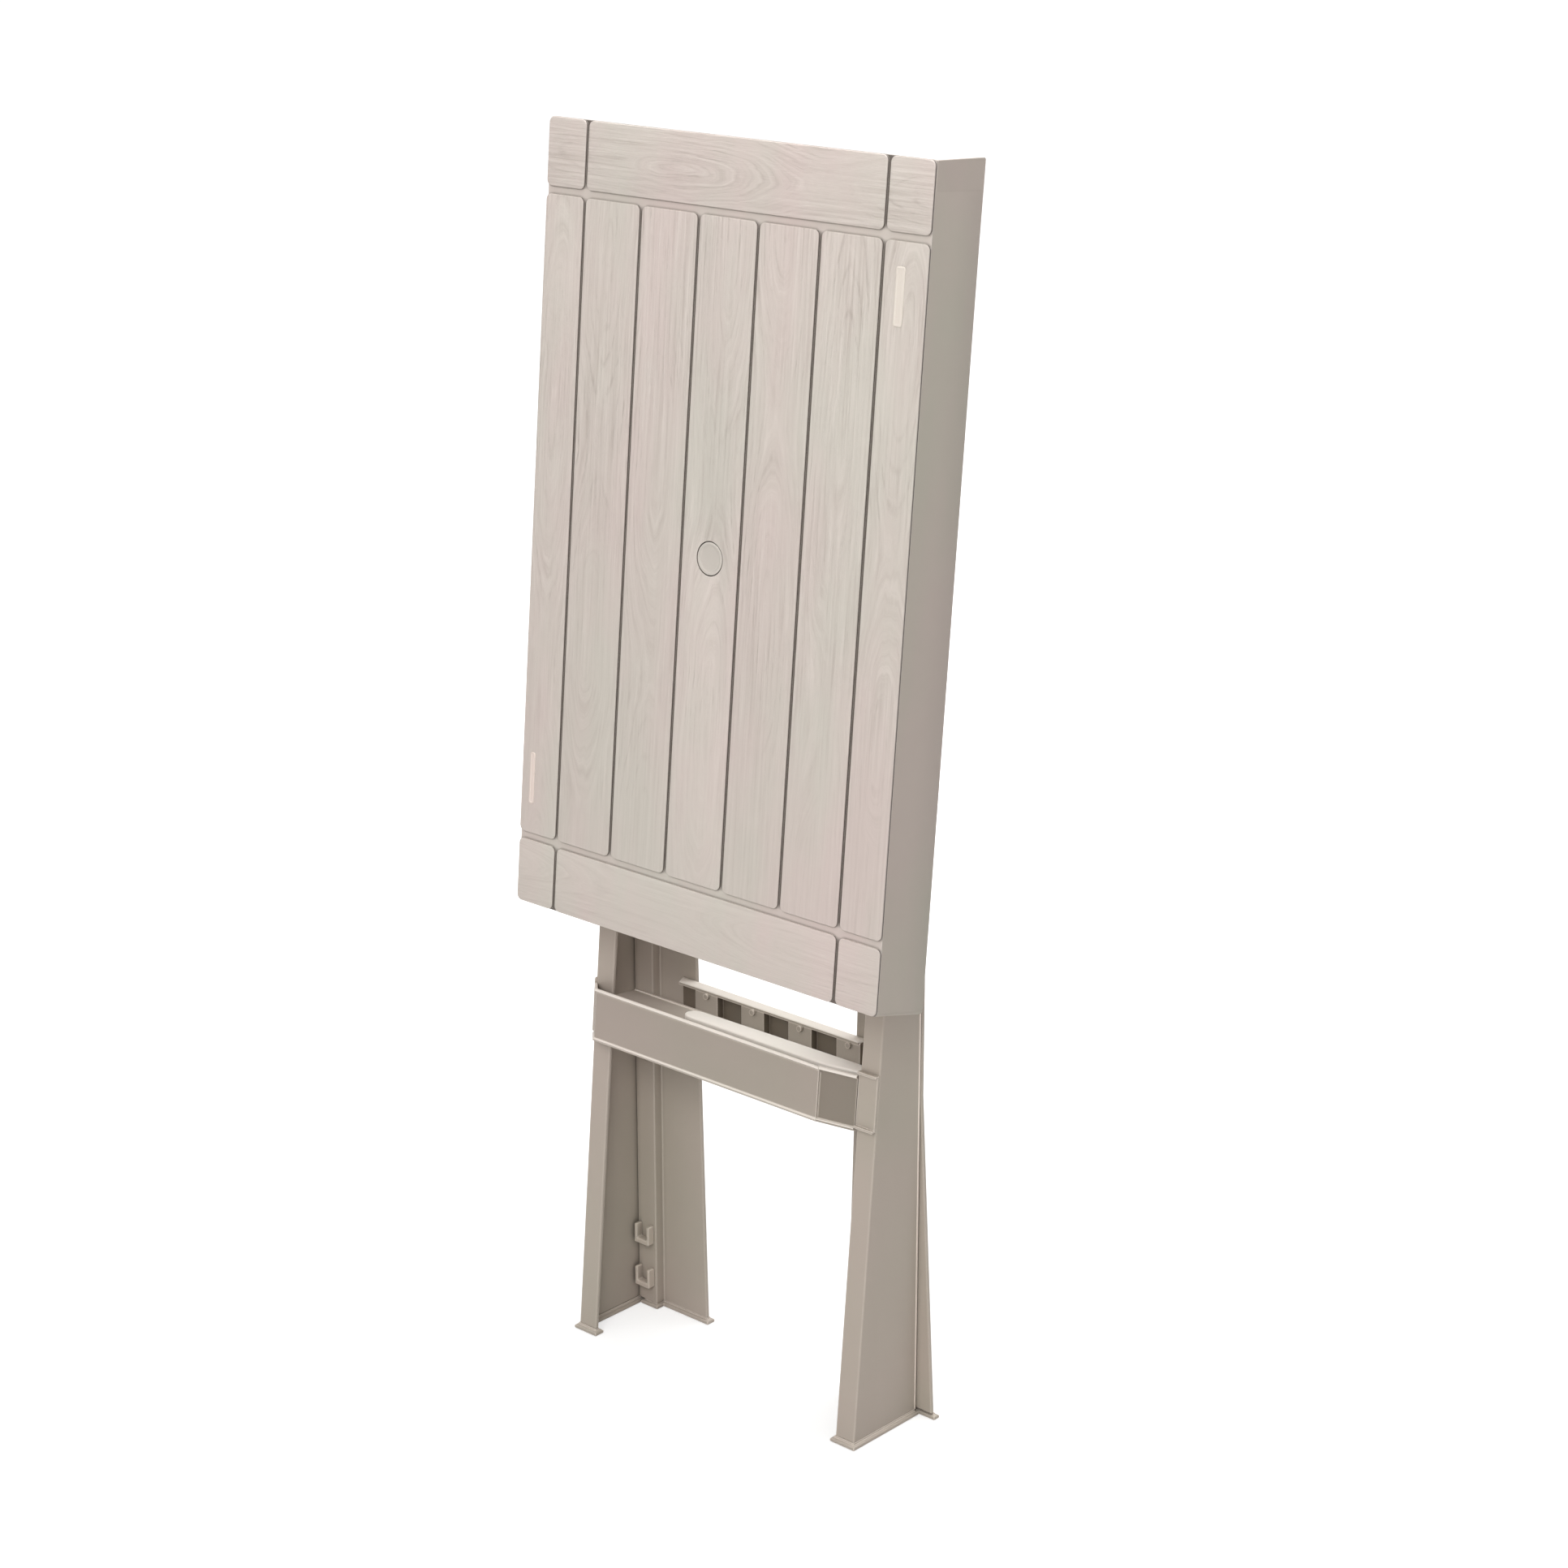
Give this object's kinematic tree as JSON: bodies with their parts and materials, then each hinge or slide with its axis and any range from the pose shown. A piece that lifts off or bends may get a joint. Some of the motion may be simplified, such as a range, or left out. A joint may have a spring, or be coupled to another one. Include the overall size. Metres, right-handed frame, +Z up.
{
  "type": "folding trestle table",
  "caption": "Folding trestle in moulded plastic: a plank-faced tray top hinged on two scissoring leg frames, shown folded with the top upright.",
  "frame": {"origin": "on the floor, under the middle of the folded object's bounding box", "axes": "+X to the right seen from the front, +Y from the plank face to the back, +Z up"},
  "size_m": [0.45, 0.1364, 1.1826],
  "materials": {
    "top_plastic": "satin, wood-grain texture",
    "leg_plastic": "satin",
    "pale_plastic": "satin",
    "steel": "brushed",
    "rubber": "matte"
  },
  "bodies": {
    "front_frame": {"front_leg_left": "leg_plastic", "front_leg_right": "leg_plastic", "front_foot_left": "leg_plastic", "front_foot_right": "leg_plastic", "front_crossbar": "leg_plastic", "crossbar_collar_left": "leg_plastic", "crossbar_collar_right": "leg_plastic", "grip_strip": "pale_plastic", "front_top_beam": "leg_plastic", "hinge_rod": "steel", "rod_cap_left": "leg_plastic", "rod_cap_right": "leg_plastic", "rod_spacer_left": "leg_plastic", "rod_spacer_right": "leg_plastic", "rest_pad_left": "rubber", "rest_pad_right": "rubber"},
    "rear_frame": {"rear_leg_left": "leg_plastic", "rear_leg_right": "leg_plastic", "rear_foot_left": "leg_plastic", "rear_foot_right": "leg_plastic", "rear_crossbar": "leg_plastic", "crossbar_peg_1": "leg_plastic", "crossbar_peg_2": "leg_plastic", "crossbar_peg_3": "leg_plastic", "crossbar_peg_4": "leg_plastic", "rear_top_beam": "leg_plastic", "rear_knuckle_left": "leg_plastic", "rear_knuckle_right": "leg_plastic", "leg_clip_low_left": "leg_plastic", "leg_clip_low_right": "leg_plastic", "leg_clip_high_left": "leg_plastic", "leg_clip_high_right": "leg_plastic"},
    "tabletop": {"tabletop_shell": "top_plastic", "badge_plate": "pale_plastic", "blank_emblem": "top_plastic", "hinge_bracket_left": "leg_plastic", "hinge_bracket_right": "leg_plastic", "bracket_screw_low_left": "steel", "bracket_screw_low_right": "steel", "bracket_screw_high_left": "steel", "bracket_screw_high_right": "steel"},
    "cap": {"pole_hole_cap": "top_plastic"}
  },
  "joints": [
    {"name": "rear_frame_hinge", "type": "hinge", "parent": "front_frame", "child": "rear_frame", "pos_m": [0, 0.03876, 0.70703], "axis": [1, 0, 0], "range_deg": [0, 30]},
    {"name": "tabletop_hinge", "type": "hinge", "parent": "front_frame", "child": "tabletop", "pos_m": [0, 0.03876, 0.70703], "axis": [-1, 0, 0], "range_deg": [0, 72]},
    {"name": "cap_slide", "type": "slide", "parent": "tabletop", "child": "cap", "axis": [0, -0.996, 0.0899], "range_m": [0, 0.03]}
  ]
}
